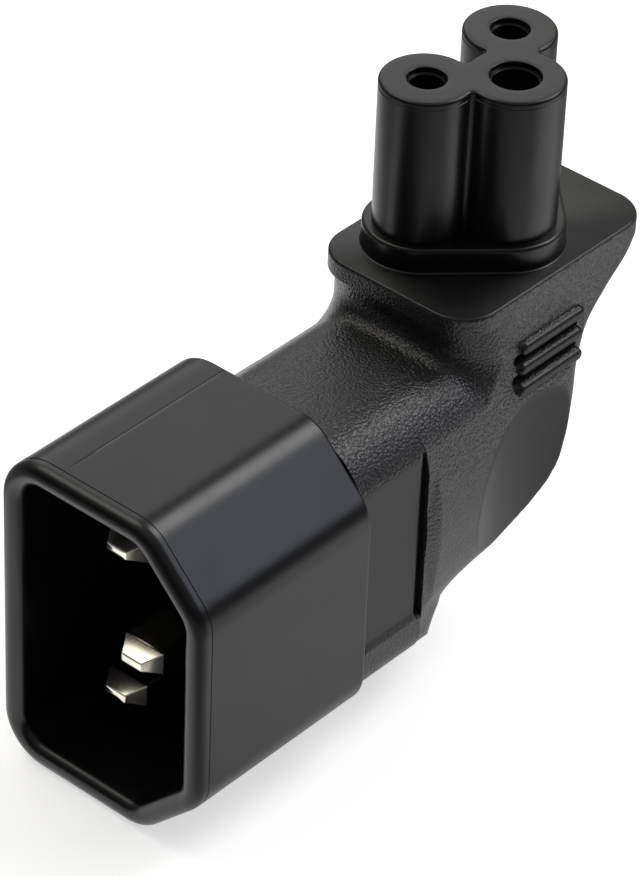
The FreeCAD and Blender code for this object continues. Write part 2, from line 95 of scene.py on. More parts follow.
# Elbow's sections: height, back, front half width, rear half width, rear corner round
ELBOW = np.array([
    (16.1, 55.4, 8.0, 8.0, 3.4), (15.0, 54.7, 8.05, 8.05, 3.5), (13.2, 52.4, 8.3, 8.2, 3.8),
    (11.0, 49.9, 8.65, 8.5, 4.2), (8.6, 48.3, 9.2, 9.1, 4.5), (5.0, 47.2, 9.85, 9.8, 4.8),
    (1.5, 46.2, 10.1, 10.0, 4.6), (-1.0, 45.4, 9.95, 9.8, 4.4), (-3.0, 43.8, 9.75, 9.4, 4.4),
    (-4.3, 42.0, 9.6, 8.75, 4.6), (-5.3, 39.8, 9.5, 7.85, 4.8), (-5.9, 37.6, 9.4, 7.5, 4.9),
    (-6.5, 35.2, 9.4, 7.4, 5.0), (-7.6, 33.6, 9.3, 8.0, 5.0), (-9.2, 32.3, 9.25, 8.4, 5.0),
    (-11.0, 32.25, 9.2, 7.9, 5.1), (-14.55, 32.3, 9.2, 6.8, 5.3)])[::-1]
# How far the strip beside the shoulder leans in
STRIP_LEAN = 0.6
# Thumb scoops: radius, middle along y, floor's half width at SCOOP_Z, its growth with height, edge's ease
SCOOP_RADIUS, SCOOP_Y, SCOOP_FLOOR, SCOOP_Z, SCOOP_LEAN, SCOOP_EASE = 21, 40, 8.7, -0.3, 0.065, 0.12

# Riser: front and half width at RISER_TOP, how much each grows over RISER_TALL down, how its sides spread
# along y, its foot's fillet, and what turns a level distance from its front and sides into a true one
RISER_TOP, RISER_TALL, RISER_FRONT, RISER_HALF = 18, 16, 32.12, 7.5
RISER_FALL, RISER_SPREAD, RISER_SPLAY, FOOT_FILLET = 3.18, 2.56, 0.18, 1.8
TRUE_FRONT, TRUE_SIDE = 0.98, 0.97
# Flange: underside, top and half width, then front, back, corner round and upper edge's round
FLANGE_LOW, FLANGE_TOP, FLANGE_HALF = 16.1, 17.7, 8.0
FLANGE_FRONT, FLANGE_BACK, FLANGE_ROUND, FLANGE_EDGE = 32.3, 55.4, 3.4, 0.3

# Spine inside the overmould: its height in the neck, the middle of its turn, and its distance from there at
# 0, 45 and 90 degrees
SPINE_Z, TURN_Y, TURN_Z, TURN_DEEP = -0.4, 31.2, 15.1, (15.5, 11.5, 12.5)
# How far rows stand from a crease, and the length and halvings of the rays that find the skin
CREASE, RAY_LENGTH, HALVINGS = 0.02, 40.0, 24

# Grip ribs: heights of the three crests, where each starts, length, half width, height and round of the back
RIB_Z = np.array([12.75, 11.12, 9.49])
RIB_Y = np.array([38.6, 38.2, 37.8])
RIB_LENGTH, RIB_HALF, RIB_CREST, RIB_ROUND = 7.7, 0.52, 0.55, 0.3
# Slots between the ribs: depth, half width, edge's run, and how far they start behind and outrun the ribs
SLOT_DEPTH, SLOT_HALF, SLOT_RUN, SLOT_START, SLOT_EXTRA = 0.7, 0.42, 0.1, 0.1, 0.4
# Grip's field in y and z, its flat back, and the rim by which the pocket under it is smaller, with its ease
GRIP_Y, GRIP_Z, GRIP_BACK = (36.2, 47.0), (8.35, 13.85), 6.5
RIM_Y, RIM_LOW, RIM_HIGH, RIM_EASE = 0.6, 0.4, 0.5, 0.3

# Nose lobes: centre x, centre y, lobe, mouth and hole radii
LOBES = {"line": (-2.6, 38.9, 3.74, 1.55, 1.37), "earth": (2.05, 43.9, 4.0, 2.03, 1.82),
         "neutral": (-2.6, 48.9, 3.74, 1.55, 1.37)}
NOSE_MIDDLE = (-0.6, 43.9)
# Holes: ease of the mouth, depth of the ledge and of the hole. Collar: rounds of its upper edge and its foot
MOUTH_EASE, LEDGE_DEPTH, HOLE_DEPTH = 0.12, 0.5, 13.1
COLLAR_EASE, COLLAR_FOOT = 0.3, 0.18

# Floor: half size in metres and points along a side, its grey for the light it throws back, and its white
FLOOR_HALF, FLOOR_STEPS = 1.5, 9
FLOOR_GREY, FLOOR_WHITE = 0.45, 0.97

# Camera: what it has on its right and below it, its place in millimetres from the mouth, and its shift
CAMERA_RIGHT, CAMERA_DOWN = (0.74749, 0.66358, 0.03031), (0.41905, -0.43566, -0.79661)
CAMERA_PLACE, CAMERA_SHIFT = (177.63, -187.62, 214.55), (0.029, 0.0291)

# Soft patches of light on the room: direction, degrees to which each is full and at which it is gone, level
ROOM = (
    ((0.20, 0.60, 0.77), 6, 18, (5.6, 5.6, 5.5)),
    ((-0.64, 0.60, 0.48), 13, 25, (0.98, 1.0, 0.98)),
    ((0.60, 0.61, 0.52), 7, 18, (1.65, 1.72, 2.0)),
    ((-0.50, -0.05, 0.86), 8, 22, (2.3, 2.2, 1.85)),
    ((0.0, 0.1, 1.0), 10, 80, (0.3, 0.3, 0.31)),
    ((-0.2, 0.95, 0.2), 10, 40, (0.2, 0.18, 0.14)),
    ((-0.95, 0.1, 0.25), 15, 50, (0.15, 0.15, 0.15)),
)

# Bright places of the paper, as gloss shows them: x, y, full and faded radius in millimetres, level
PAPER = (
    ((32, 0), 15, 45, 0.6),
    ((70, 60), 25, 60, 1.0),
    ((-15, -44), 18, 40, 1.0),
    ((-40, 30), 20, 60, 1.0),
)


def size_setting(name, default, description):
    """Property for a length in metres."""
    return FloatProperty(name=name, description=description, default=default, unit="LENGTH")


def colour_setting(name, default, description):
    """Property for a colour."""
    return FloatVectorProperty(name=name, description=description, default=default, subtype="COLOR")


class HoodSettings(bpy.types.PropertyGroup):
    """Sizes of the plug's hood and blades."""
    wall: size_setting("Wall", 0.00195, "Thickness of the hood's wall")
    bevel: size_setting("Bevel", 0.0058, "Run of the two bevelled corners")
    length: size_setting("Length", 0.0192, "Depth of the hood from lip to rear face")
    floor: size_setting("Floor", 0.0172, "How deep the floor lies behind the mouth")
    mould_line: size_setting("Mould line", 0.00005, "Depth of the mould's joint lines")
    blade_width: size_setting("Blade width", 0.004, "Width of each blade")
    blade_thickness: size_setting("Blade thickness", 0.002, "Thickness of each blade")


class NoseSettings(bpy.types.PropertyGroup):
    """Sizes of the socket nose."""
    edge: size_setting("Edge", 0.00028, "Round on the lobes' upper edge")
    valley: size_setting("Valley", 0.0004, "Round where two lobes meet")
    collar: size_setting("Collar", 0.00076, "How far the collar stands out past the lobes")
    collar_height: size_setting("Collar height", 0.00215, "Height of the collar on the flange")


class FinishSettings(bpy.types.PropertyGroup):
    """Colours and surface of the finishes."""
    plastic: colour_setting("Plastic", (0.0045, 0.0045, 0.0055), "Colour of the smooth black mouldings")
    leather: colour_setting("Leather", (0.02, 0.02, 0.0215), "Colour of the grained black moulding")
    nickel: colour_setting("Nickel", (0.84, 0.79, 0.69), "Colour of the blades")
    brass: colour_setting("Brass", (0.7, 0.52, 0.25), "Colour of the contact sleeves")
    copper: colour_setting("Copper", (0.72, 0.36, 0.2), "Colour of the wires")
    grain: size_setting("Grain", 0.00023, "Size of the leather grain's cells")
    grain_depth: size_setting("Grain depth", 0.00007, "Depth of the leather grain")


class StageSettings(bpy.types.PropertyGroup):
    """Camera and light."""
    lens: FloatProperty(
        name="Lens", description="Focal length on a sensor 36 mm tall", default=183.82, unit="CAMERA")
    light: FloatProperty(name="Light", description="Level of all the room's light", default=1.0)
    glow: FloatProperty(
        name="Glow", description="How much paler the paper shows than its light makes it", default=0.58)


class AdapterSettings(bpy.types.PropertyGroup):
    """Everything that a user would change."""
    hood: PointerProperty(type=HoodSettings)
    nose: PointerProperty(type=NoseSettings)
    finish: PointerProperty(type=FinishSettings)
    stage: PointerProperty(type=StageSettings)


def from_mouth(points):
    """Points in millimetres from the mouth's middle, as metres in the frame: mouth + points / 1000."""
    return MOUTH + points * MM


def grid_faces(rows, columns, closed):
    """Corner numbers of a grid's four-sided faces; a closed grid's last column joins its first."""
    number = np.arange(rows * columns).reshape(rows, columns)
    if closed:
        number = np.hstack([number, number[:, :1]])
    return np.stack([number[:-1, :-1], number[:-1, 1:], number[1:, 1:], number[1:, :-1]], -1).reshape(-1, 4)


def make_piece(name, grids, material, nodes, grain=None, sharp=38.0):
    """One object from (grid of points, closed) pairs: grids are stacked, points that coincide become one,
    faces are turned outwards, and edges sharper than the given angle stay crisp. grain is a value for each
    point."""
    faces, start = [], 0
    for grid, closed in grids:
        faces.append(grid_faces(*grid.shape[:2], closed) + start)
        start += grid.shape[0] * grid.shape[1]
    points = from_mouth(np.vstack([grid.reshape(-1, 3) for grid, closed in grids]))
    mesh = bpy.data.meshes.new(name)
    mesh.from_pydata(points.tolist(), [], np.vstack(faces).tolist())
    if grain is not None:
        values = mesh.attributes.new("grain", "FLOAT", "POINT")
        values.data.foreach_set("value", grain.astype(np.float32).ravel())
    shape = bmesh.new()
    shape.from_mesh(mesh)
    bmesh.ops.remove_doubles(shape, verts=shape.verts, dist=MERGE)
    bmesh.ops.recalc_face_normals(shape, faces=shape.faces)
    shape.to_mesh(mesh)
    shape.free()
    mesh.shade_smooth()
    mesh.set_sharp_from_angle(angle=math.radians(sharp))
    mesh.materials.append(material)
    piece = bpy.data.objects.new(name, mesh)
    bpy.context.scene.collection.objects.link(piece)
    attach(piece, "root")
    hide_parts(*nodes)


def rounded_loop(corners, radii, arc_steps, side_marks):
    """Closed loop round an anticlockwise polygon. Each corner is an arc whose centre lies radius / sin(half
    angle) in along the bisector, swept from one side's normal to the next. side_marks are the shares of each
    side at which it has points. Gives points and outward normals."""
    corners, radii = np.array(corners, float), np.array(radii, float)
    before = np.roll(corners, 1, 0) - corners
    after = np.roll(corners, -1, 0) - corners
    before /= np.linalg.norm(before, axis=1, keepdims=True)
    after /= np.linalg.norm(after, axis=1, keepdims=True)
    half = np.arccos((before * after).sum(1)) / 2
    bisector = (before + after) / np.linalg.norm(before + after, axis=1, keepdims=True)
    centre = corners + bisector * (radii / np.sin(half))[:, None]
    bearing = np.arctan2(before[:, 0], -before[:, 1])
    angle = bearing[:, None] + (math.pi - 2 * half)[:, None] * np.linspace(0, 1, arc_steps)
    normals = np.stack([np.cos(angle), np.sin(angle)], -1)
    arcs = centre[:, None] + radii[:, None, None] * normals
    points, outward = [], []
    for index, marks in enumerate(side_marks):
        end, following = arcs[index, -1], arcs[(index + 1) % len(corners), 0]
        points += [arcs[index], end + (following - end) * marks[:, None]]
        outward += [normals[index], np.repeat(normals[index, -1:], len(marks), 0)]
    return np.vstack(points), np.vstack(outward)


def carried(loop, outward, profile, centre=(0, 0)):
    """Profile carried along a loop: each profile row is (inset, shrink, height), and gives the loop moved in
    along its normals by inset, then drawn towards the centre by the share shrink, at that height."""
    inset, shrink, height = np.array(profile, float).T[:, :, None, None]
    flat = loop[None] - outward[None] * inset
    flat = flat + (np.array(centre) - flat) * shrink
    return np.concatenate([flat, np.broadcast_to(height, flat.shape[:2] + (1,))], -1)


def arc_rows(inset, height, radius, first, last, steps):
    """Profile rows on an arc: inset + radius cos, height + radius sin, between two angles in degrees."""
    angle = np.radians(np.linspace(first, last, steps))
    return np.stack([inset + radius * np.cos(angle), 0 * angle, height + radius * np.sin(angle)], -1)


def straight_rows(inset, first, last, steps):
    """Profile rows at one inset between two heights."""
    height = np.linspace(first, last, steps)
    return np.stack([0 * height + inset, 0 * height, height], -1)


def cap_rows(inset, height, shrinks):
    """Profile rows at one height, drawn towards the centre by each share in turn."""
    shrinks = np.array(shrinks, float)
    return np.stack([0 * shrinks + inset, shrinks, 0 * shrinks + height], -1)


def feed(tree, made, inputs):
    """Links a node's inputs to the sockets given for them, and sets the others to their values."""
    for key, value in inputs.items():
        if isinstance(value, bpy.types.NodeSocket):
            tree.links.new(value, made.inputs[key])
        else:
            made.inputs[key].default_value = value


def node(tree, kind, inputs, **settings):
    """Adds a shader node with its settings and inputs."""
    made = tree.nodes.new("ShaderNode" + kind)
    for key, value in settings.items():
        setattr(made, key, value)
    feed(tree, made, inputs)
    return made


def worked(tree, operation, *values):
    """Result of one operation on numbers."""
    return node(tree, "Math", dict(enumerate(values)), operation=operation).outputs["Value"]


def mixed(tree, share, first, second):
    """Blend of two colours by a share from 0..1."""
    return node(tree, "Mix", {"Factor": share, "A": first, "B": second}, data_type="RGBA").outputs["Result"]


def new_finish(name):
    """Empty material with its shader, and the object's own coordinates."""
    material = bpy.data.materials.new(name)
    material.use_nodes = True
    tree = material.node_tree
    shader = tree.nodes["Principled BSDF"]
    place = node(tree, "TexCoord", {}).outputs["Object"]
    return material, tree, shader, place


def noise(tree, place, scale, detail):
    """Cloudy value from 0..1, with scale clouds to the metre."""
    return node(tree, "TexNoise", {"Vector": place, "Scale": scale, "Detail": detail}).outputs["Fac"]


def press_relief(tree, shader, height, strength, depth, invert=False):
    """Gives the shader a relief of the given depth in metres."""
    bump = node(tree, "Bump", {"Height": height, "Strength": strength, "Distance": depth}, invert=invert)
    tree.links.new(bump.outputs["Normal"], shader.inputs["Normal"])


def spread(tree, value, low, high):
    """Maps a value from 0..1 to low..high."""
    return node(tree, "MapRange", {"Value": value, "To Min": low, "To Max": high}).outputs["Result"]


def tinted(tree, value, colour, low, high):
    """The colour made darker and lighter by a value from 0..1."""
    dark, light = ((*[channel * share for channel in colour], 1) for share in (low, high))
    return mixed(tree, value, dark, light)


def dust(tree, place, colour):
    """Pale specks of dust a tenth of a millimetre across, in about one cell in seven of a 3 mm mesh."""
    cells = node(tree, "TexVoronoi", {"Vector": place, "Scale": 330.0})
    near = node(tree, "MapRange", {"Value": cells.outputs["Distance"], "From Min": 0.012, "From Max": 0.03,
                                   "To Min": 1.0, "To Max": 0.0})
    chance = node(tree, "SeparateColor", {"Color": cells.outputs["Color"]})
    some = worked(tree, "GREATER_THAN", chance.outputs["Red"], 0.86)
    speck = worked(tree, "MULTIPLY", near.outputs["Result"], some)
    return mixed(tree, speck, colour, (0.3, 0.3, 0.29, 1))


def satin_black(name, colour):
    """Smooth black moulding: faint mottling, a satin gloss that varies, fine mould texture, a little dust."""
    material, tree, shader, place = new_finish(name)
    mottle = noise(tree, place, 260.0, 4.0)
    fine = noise(tree, place, 7000.0, 2.0)
    feed(tree, shader, {"Base Color": dust(tree, place, tinted(tree, mottle, colour, 0.8, 1.25)),
                        "Roughness": spread(tree, mottle, 0.25, 0.37)})
    press_relief(tree, shader, fine, 0.3, 0.000008)
    return material


def grained_black(name, settings):
    """Black moulding with leather grain: rounded cells broken by noise, as deep as the surface's grain value
    says, and smooth satin where that is nought."""
    material, tree, shader, place = new_finish(name)
    grain = node(tree, "Attribute", {}, attribute_name="grain").outputs["Fac"]
    mottle = noise(tree, place, 260.0, 4.0)
    warp = node(tree, "TexNoise", {"Vector": place, "Scale": 0.5 / settings.grain, "Detail": 2.0})
    bent = node(tree, "VectorMath", {0: warp.outputs["Color"], 1: (settings.grain,) * 3, 2: place},
                operation="MULTIPLY_ADD")
    cells = node(tree, "TexVoronoi", {"Vector": bent.outputs["Vector"], "Scale": 1 / settings.grain,
                                      "Smoothness": 0.35}, feature="SMOOTH_F1").outputs["Distance"]
    fine = noise(tree, place, 9000.0, 3.0)
    relief = worked(tree, "MULTIPLY_ADD", fine, -0.35, cells)
    colour = mixed(tree, grain, tinted(tree, mottle, settings.plastic, 0.8, 1.25),
                   tinted(tree, mottle, settings.leather, 0.8, 1.25))
    gloss = node(tree, "Mix", {"Factor": grain, 2: spread(tree, mottle, 0.28, 0.4),
                               3: spread(tree, fine, 0.26, 0.42)}).outputs["Result"]
    shine = spread(tree, worked(tree, "POWER", grain, 4.0), 0.42, 0.95)
    feed(tree, shader, {"Base Color": dust(tree, place, colour), "Roughness": gloss,
                        "Specular IOR Level": shine})
    press_relief(tree, shader, relief, grain, settings.grain_depth, invert=True)
    return material


def drawn_metal(name, colour, low, high):
    """Plated or drawn metal: long fine streaks along y in gloss and relief, and cloudy tarnish in colour."""
    material, tree, shader, place = new_finish(name)
    along = node(tree, "Mapping", {"Vector": place, "Scale": (1.0, 0.06, 1.0)}).outputs["Vector"]
    streak = noise(tree, along, 9000.0, 3.0)
    cloud = noise(tree, place, 700.0, 5.0)
    feed(tree, shader, {"Base Color": tinted(tree, cloud, colour, 0.72, 1.12),
                        "Roughness": spread(tree, streak, low, high), "Metallic": 1.0})
    press_relief(tree, shader, streak, 0.3, 0.000004)
    return material


def jacket_plastic(name, colour):
    """Soft wire jacket: matt and slightly cloudy."""
    material, tree, shader, place = new_finish(name)
    cloud = noise(tree, place, 900.0, 3.0)
    feed(tree, shader, {"Base Color": tinted(tree, cloud, colour, 0.85, 1.15),
                        "Roughness": spread(tree, cloud, 0.45, 0.65)})
    return material


class ADAPTER_OT_hood(bpy.types.Operator):
    """Makes the plug's hood: one wall profile carried round a rectangle with two bevelled corners"""
    bl_idname = "adapter.hood"
    bl_label = "Plug hood"

    def execute(self, context):
        settings = context.scene.adapter
        hood = settings.hood
        wide, tall, bevel, wall = (value / MM for value in (HALF_WIDTH, HALF_HEIGHT, hood.bevel, hood.wall))
        length, floor, lip, line = hood.length / MM, hood.floor / MM, wall / 2, hood.mould_line / MM
        corners = [(-wide, -tall), (wide - bevel, -tall), (wide, bevel - tall), (wide, tall - bevel),
                   (wide - bevel, tall), (-wide, tall)]
        first, last = wide - bevel - BEVEL_ROUND_RUN, SQUARE_ROUND - wide
        seam = (SEAM_X + SEAM_MARKS - first) / (last - first)
        upper = np.sort(np.concatenate([np.linspace(0, 1, 18)[1:-1], seam]))
        plain = np.linspace(0, 1, 12)[1:-1]
        marks = [np.sort(1 - upper), plain[:4], plain, plain[:4], upper, plain]
        rounds = [SQUARE_ROUND, BEVEL_ROUND, BEVEL_ROUND, BEVEL_ROUND, BEVEL_ROUND, SQUARE_ROUND]
        loop, outward = rounded_loop(corners, rounds, 15, marks)
        rear, fillet = 0.3, 0.4
        joint_rear, floor_rear, floor_front, joint_front = LIP_JOINT
        profile = np.vstack([
            cap_rows(rear, length, [1, 0.5, 0]),
            arc_rows(rear, length - rear, rear, 90, 180, 7),
            straight_rows(0, length - rear - 0.2, joint_rear, 26),
            [(line, 0, floor_rear), (line, 0, floor_front)],
            straight_rows(0, joint_front, lip + 0.02, 2),
            arc_rows(lip, lip, lip, 180, 360, 31),
            straight_rows(wall, lip + 0.3, floor - fillet, 16),
            arc_rows(wall + fillet, floor - fillet, fillet, 180, 90, 7),
            cap_rows(wall + fillet, floor, [0.2, 0.4, 0.6, 0.8, 1])])
        grid = carried(loop, outward, profile)
        on_wall = (profile[:, 0] < 0.01) & (profile[:, 1] == 0)
        fade = np.where(on_wall, np.clip((profile[:, 2] - SEAM_START) / SEAM_FADE, 0, 1), 0)
        level = np.abs(outward[:, 1]) > 0.99
        dip = line * np.exp(-((loop[:, 0] - SEAM_X) / SEAM_HALF) ** 2) * level
        grid[:, :, :2] -= outward[None] * (fade[:, None] * dip[None])[:, :, None]
        finish = satin_black("satin_black_hood", settings.finish.plastic)
        make_piece("plug_hood", [(grid[:, :, [0, 2, 1]], True)], finish, ["plug_shroud"])
        return {"FINISHED"}


def blade_grid(x, z, tip, width, thickness):
    """Flat blade as rounded rectangles along y, rows of (y, half width, half thickness, corner round): a
    small flat end, four sloped faces to the full section, then a straight bar."""
    a, b = width / 2, thickness / 2
    rows = np.array([
        (0, 0, 0, 0), (0, 0.96, 0.32, 0.04), (0.03, 1.0, 0.36, 0.06), (0.1, 1.05, 0.4, 0.08),
        (1.42, a - 0.06, b - 0.05, 0.12), (1.5, a - 0.02, b - 0.015, 0.13), (1.6, a, b, 0.14),
        (BLADE_END - tip, a, b, 0.14), (BLADE_END - tip, 0, 0, 0)])
    angle = np.radians(np.linspace(0, 90, 6)[None] + np.array([0, 90, 180, 270])[:, None]).ravel()
    side_x = np.repeat([1, -1, -1, 1], 6)
    side_z = np.repeat([1, 1, -1, -1], 6)
    y, a, b, r = rows.T[:, :, None]
    return np.stack([x + side_x * (a - r) + r * np.cos(angle), tip + y + 0 * angle,
                     z + side_z * (b - r) + r * np.sin(angle)], -1)


class ADAPTER_OT_blades(bpy.types.Operator):
    """Makes the three plated blades"""
    bl_idname = "adapter.blades"
    bl_label = "Blades"

    def execute(self, context):
        settings = context.scene.adapter
        width, thickness = settings.hood.blade_width / MM, settings.hood.blade_thickness / MM
        finish = drawn_metal("nickel_plate", settings.finish.nickel, 0.1, 0.22)
        for name, (x, z, tip) in BLADES.items():
            grid = blade_grid(x, z, tip, width, thickness)
            make_piece("plug_blade_" + name, [(grid, True)], finish, ["blade_" + name], sharp=50)
        return {"FINISHED"}


def valley(first, second, side, round_):
    """Arc that fills the valley between two overlapping lobes: its circle touches both from outside, so its
    centre is one lobe radius plus the round away from each. Gives centre and the angles at which it touches
    them."""
    start, end = np.array(first[:2]), np.array(second[:2])
    far = np.linalg.norm(end - start)
    along = (end - start) / far
    reach = (far ** 2 + (first[2] + round_) ** 2 - (second[2] + round_) ** 2) / (2 * far)
    across = math.sqrt((first[2] + round_) ** 2 - reach ** 2)
    centre = start + along * reach + side * across * np.array([along[1], -along[0]])
    touch = [np.arctan2(*(point - centre)[::-1]) for point in (start, end)]
    return centre, touch


def arc_between(centre, radius, start, end, steps, outward):
    """Points and outward normals on an arc: centre + radius (cos, sin) between two angles. outward is 1 where
    the solid is inside the circle and -1 outside it."""
    angle = np.linspace(start, end, steps)
    normal = np.stack([np.cos(angle), np.sin(angle)], -1)
    return np.array(centre) + radius * normal, outward * normal


def lobe_outline(round_):
    """Outline of the three lobes, anticlockwise from above, in eight stretches: lobe, valley, lobe and so on.
    Gives for each lobe arc or half valley its points and normals."""
    line, earth, neutral = (LOBES[name] for name in ("line", "earth", "neutral"))
    turn = 2 * math.pi
    half = 5
    right_low, left_low = valley(line, earth, 1, round_), valley(line, earth, -1, round_)
    right_high, left_high = valley(earth, neutral, 1, round_), valley(earth, neutral, -1, round_)

    def lobe(which, arriving, leaving, first, second, steps):
        """Arc of one lobe from where it touches one valley to where it touches the next."""
        start = arriving[1][first] + math.pi
        end = leaving[1][second] + math.pi
        return arc_between(which[:2], which[2], start, start + (end - start) % turn, steps, 1)

    def bend(centre, touch):
        """Arc of one valley, the short way between its two touching angles."""
        sweep = (touch[1] - touch[0] + math.pi) % turn - math.pi
        return arc_between(centre, round_, touch[0], touch[0] + sweep, 2 * half - 1, -1)

    bends = [bend(*right_low), bend(*right_high), bend(left_high[0], left_high[1][::-1]),
             bend(left_low[0], left_low[1][::-1])]
    split = [((p[:half], n[:half]), (p[half - 1:], n[half - 1:])) for p, n in bends]
    arcs = {"line": lobe(line, left_low, right_low, 0, 0, 90),
            "earth_right": lobe(earth, right_low, right_high, 1, 0, 60),
            "neutral": lobe(neutral, right_high, left_high, 1, 1, 90),
            "earth_left": lobe(earth, left_high, left_low, 0, 1, 14)}
    return arcs, split


def joined_stretches(stretches):
    """Stretches end to end as one loop of points and normals, each shared end kept once."""
    return (np.vstack([points[:-1] for points, normals in stretches]),
            np.vstack([normals[:-1] for points, normals in stretches]))


def hole_rows(mouth, hole):
    """Radius and depth of one contact hole: eased mouth, ledge, straight hole and its end."""
    angle = np.radians(np.linspace(90, 0, 5))
    ease = MOUTH_EASE
    rows = [(mouth + ease - ease * math.cos(t), ease - ease * math.sin(t)) for t in angle]
    return np.array(rows + [
        (mouth, 0.45), (mouth - 0.04, LEDGE_DEPTH), (hole + 0.05, LEDGE_DEPTH), (hole, 0.55),
        (hole, HOLE_DEPTH), (0, HOLE_DEPTH)])


class ADAPTER_OT_nose(bpy.types.Operator):
    """Makes the socket nose: three bored lobes on a collar"""
    bl_idname = "adapter.nose"
    bl_label = "Socket nose"

    def execute(self, context):
        settings = context.scene.adapter
        nose = settings.nose
        top, edge = NOSE_END / MM, nose.edge / MM
        collar_top = FLANGE_TOP + nose.collar_height / MM
        arcs, (low_right, high_right, high_left, low_left) = lobe_outline(nose.valley / MM)
        around = [arcs["line"], low_right[0], low_right[1], arcs["earth_right"], high_right[0], high_right[1],
                  arcs["neutral"], high_left[0], high_left[1], arcs["earth_left"], low_left[0], low_left[1]]
        loop, outward = joined_stretches(around)
        line = settings.hood.mould_line / MM
        joint_top, floor_top, floor_low, joint_low = NOSE_JOINT
        root = collar_top - 0.6
        profile = np.vstack([
            arc_rows(edge, top - edge, edge, 90, 180, 7),
            straight_rows(0, top - joint_top, top - joint_top, 1),
            [(line, 0, top - floor_top), (line, 0, top - floor_low)],
            straight_rows(0, top - joint_low, collar_top + 0.3, 14),
            straight_rows(0, root, root, 1),
            cap_rows(0, root, [1])])
        grids = [(carried(loop, outward, profile, NOSE_MIDDLE), True)]

        def inset(stretch):
            """The stretch moved in along its normals by the edge's round."""
            return stretch[0] - stretch[1] * edge, stretch[1]

        def seam(bend_a, bend_b):
            """Straight stretch over the end face, from the middle of one valley to that of the other."""
            first, last = inset(bend_a[0])[0][-1], inset(bend_b[0])[0][-1]
            points = first + (last - first) * np.linspace(0, 1, 15)[:, None]
            return points, points * 0

        def back(stretch):
            """The stretch the other way round."""
            return stretch[0][::-1], stretch[1][::-1]

        lower, upper = seam(low_right, low_left), seam(high_right, high_left)
        rings = {
            "line": [inset(low_left[1]), inset(arcs["line"]), inset(low_right[0]), lower],
            "earth": [inset(low_right[1]), inset(arcs["earth_right"]), inset(high_right[0]), upper,
                      inset(high_left[1]), inset(arcs["earth_left"]), inset(low_left[0]), back(lower)],
            "neutral": [inset(high_right[1]), inset(arcs["neutral"]), inset(high_left[0]), back(upper)]}
        for name, ring in rings.items():
            border = joined_stretches(ring)[0]
            (x, y), (mouth, straight) = LOBES[name][:2], LOBES[name][3:]
            bearing = np.arctan2(border[:, 1] - y, border[:, 0] - x)
            radius, depth = hole_rows(mouth, straight).T[:, :, None]
            hole = np.stack([x + radius * np.cos(bearing), y + radius * np.sin(bearing),
                             top - depth + 0 * bearing], -1)
            face = np.concatenate([border, np.full((len(border), 1), top)], -1)
            share = np.linspace(0, 1, 5)[:, None, None]
            grids.append((np.concatenate([face + (hole[0] - face) * share, hole[1:]]), True))

        hull, hull_out = hull_loop(nose.collar / MM)
        ease, foot = COLLAR_EASE, COLLAR_FOOT
        collar = np.vstack([
            cap_rows(ease, collar_top, [1, 0.6, 0.3, 0]),
            arc_rows(ease, collar_top - ease, ease, 90, 180, 7),
            straight_rows(0, collar_top - ease - 0.1, FLANGE_TOP + 0.3, 6),
            arc_rows(-foot, FLANGE_TOP + foot, foot, 0, -90, 6),
            cap_rows(-foot, FLANGE_TOP - 0.4, [0, 1])])
        grids.append((carried(hull, hull_out, collar, NOSE_MIDDLE), True))
        finish = satin_black("satin_black_nose", settings.finish.plastic)
        make_piece("nose_lobes", grids, finish, ["socket_nose"])
        return {"FINISHED"}


def hull_loop(margin):
    """Taut loop round the three lobes, each grown by margin: arcs joined by outer tangents, whose normal
    leans from the line of centres by the angle whose cosine is the difference of radii over the distance."""
    around = [LOBES[name] for name in ("line", "earth", "neutral")]
    centres = np.array([lobe[:2] for lobe in around])
    radii = np.array([lobe[2] + margin for lobe in around])
    run = np.roll(centres, -1, 0) - centres
    lean = np.arccos((radii - np.roll(radii, -1)) / np.linalg.norm(run, axis=1))
    leaving = np.arctan2(run[:, 1], run[:, 0]) - lean
    arriving = np.roll(leaving, 1)
    stretches = []
    for index in range(3):
        sweep = (leaving[index] - arriving[index]) % (2 * math.pi)
        arc = arc_between(centres[index], radii[index], arriving[index], arriving[index] + sweep, 48, 1)
        following = centres[(index + 1) % 3] + radii[(index + 1) % 3] * arc[1][-1]
        share = np.linspace(0, 1, 12)[:, None]
        tangent = arc[0][-1] + (following - arc[0][-1]) * share
        stretches += [arc, (tangent, np.repeat(arc[1][-1:], 12, 0))]
    return joined_stretches(stretches)


def soft_max(a, b, reach):
    """Larger of two fields, rounded off where they differ by less than reach."""
    near = np.maximum(reach - np.abs(a - b), 0) / reach
    return np.maximum(a, b) + near * near * reach / 4


def round_max(a, b, radius):
    """Inside both fields, with their outer corner rounded to a radius."""
    corner = np.hypot(np.maximum(a + radius, 0), np.maximum(b + radius, 0))
    return np.minimum(np.maximum(a, b), -radius) + corner


def round_min(a, b, radius):
    """Inside either field, with their inner corner filled to a radius."""
    corner = np.hypot(np.maximum(radius - a, 0), np.maximum(radius - b, 0))
    return np.maximum(np.minimum(a, b), radius) - corner


def table_at(z, column):
    """A column of the elbow's sections at any height: cubic pieces with the neighbours' slopes."""
    knots, values = ELBOW[:, 0], ELBOW[:, column]
    slopes = np.gradient(values, knots)
    z = np.clip(z, knots[0], knots[-1])
    index = np.clip(np.searchsorted(knots, z) - 1, 0, len(knots) - 2)
    step = knots[index + 1] - knots[index]
    t = (z - knots[index]) / step
    return ((2 * t ** 3 - 3 * t ** 2 + 1) * values[index] + (t ** 3 - 2 * t ** 2 + t) * step * slopes[index]
            + (3 * t ** 2 - 2 * t ** 3) * values[index + 1]
            + (t ** 3 - t ** 2) * step * slopes[index + 1])


def band(value, low, high, soft):
    """1 between low and high, falling to 0 over a soft edge inside them."""
    return np.clip((value - low) / soft, 0, 1) * np.clip((high - value) / soft, 0, 1)


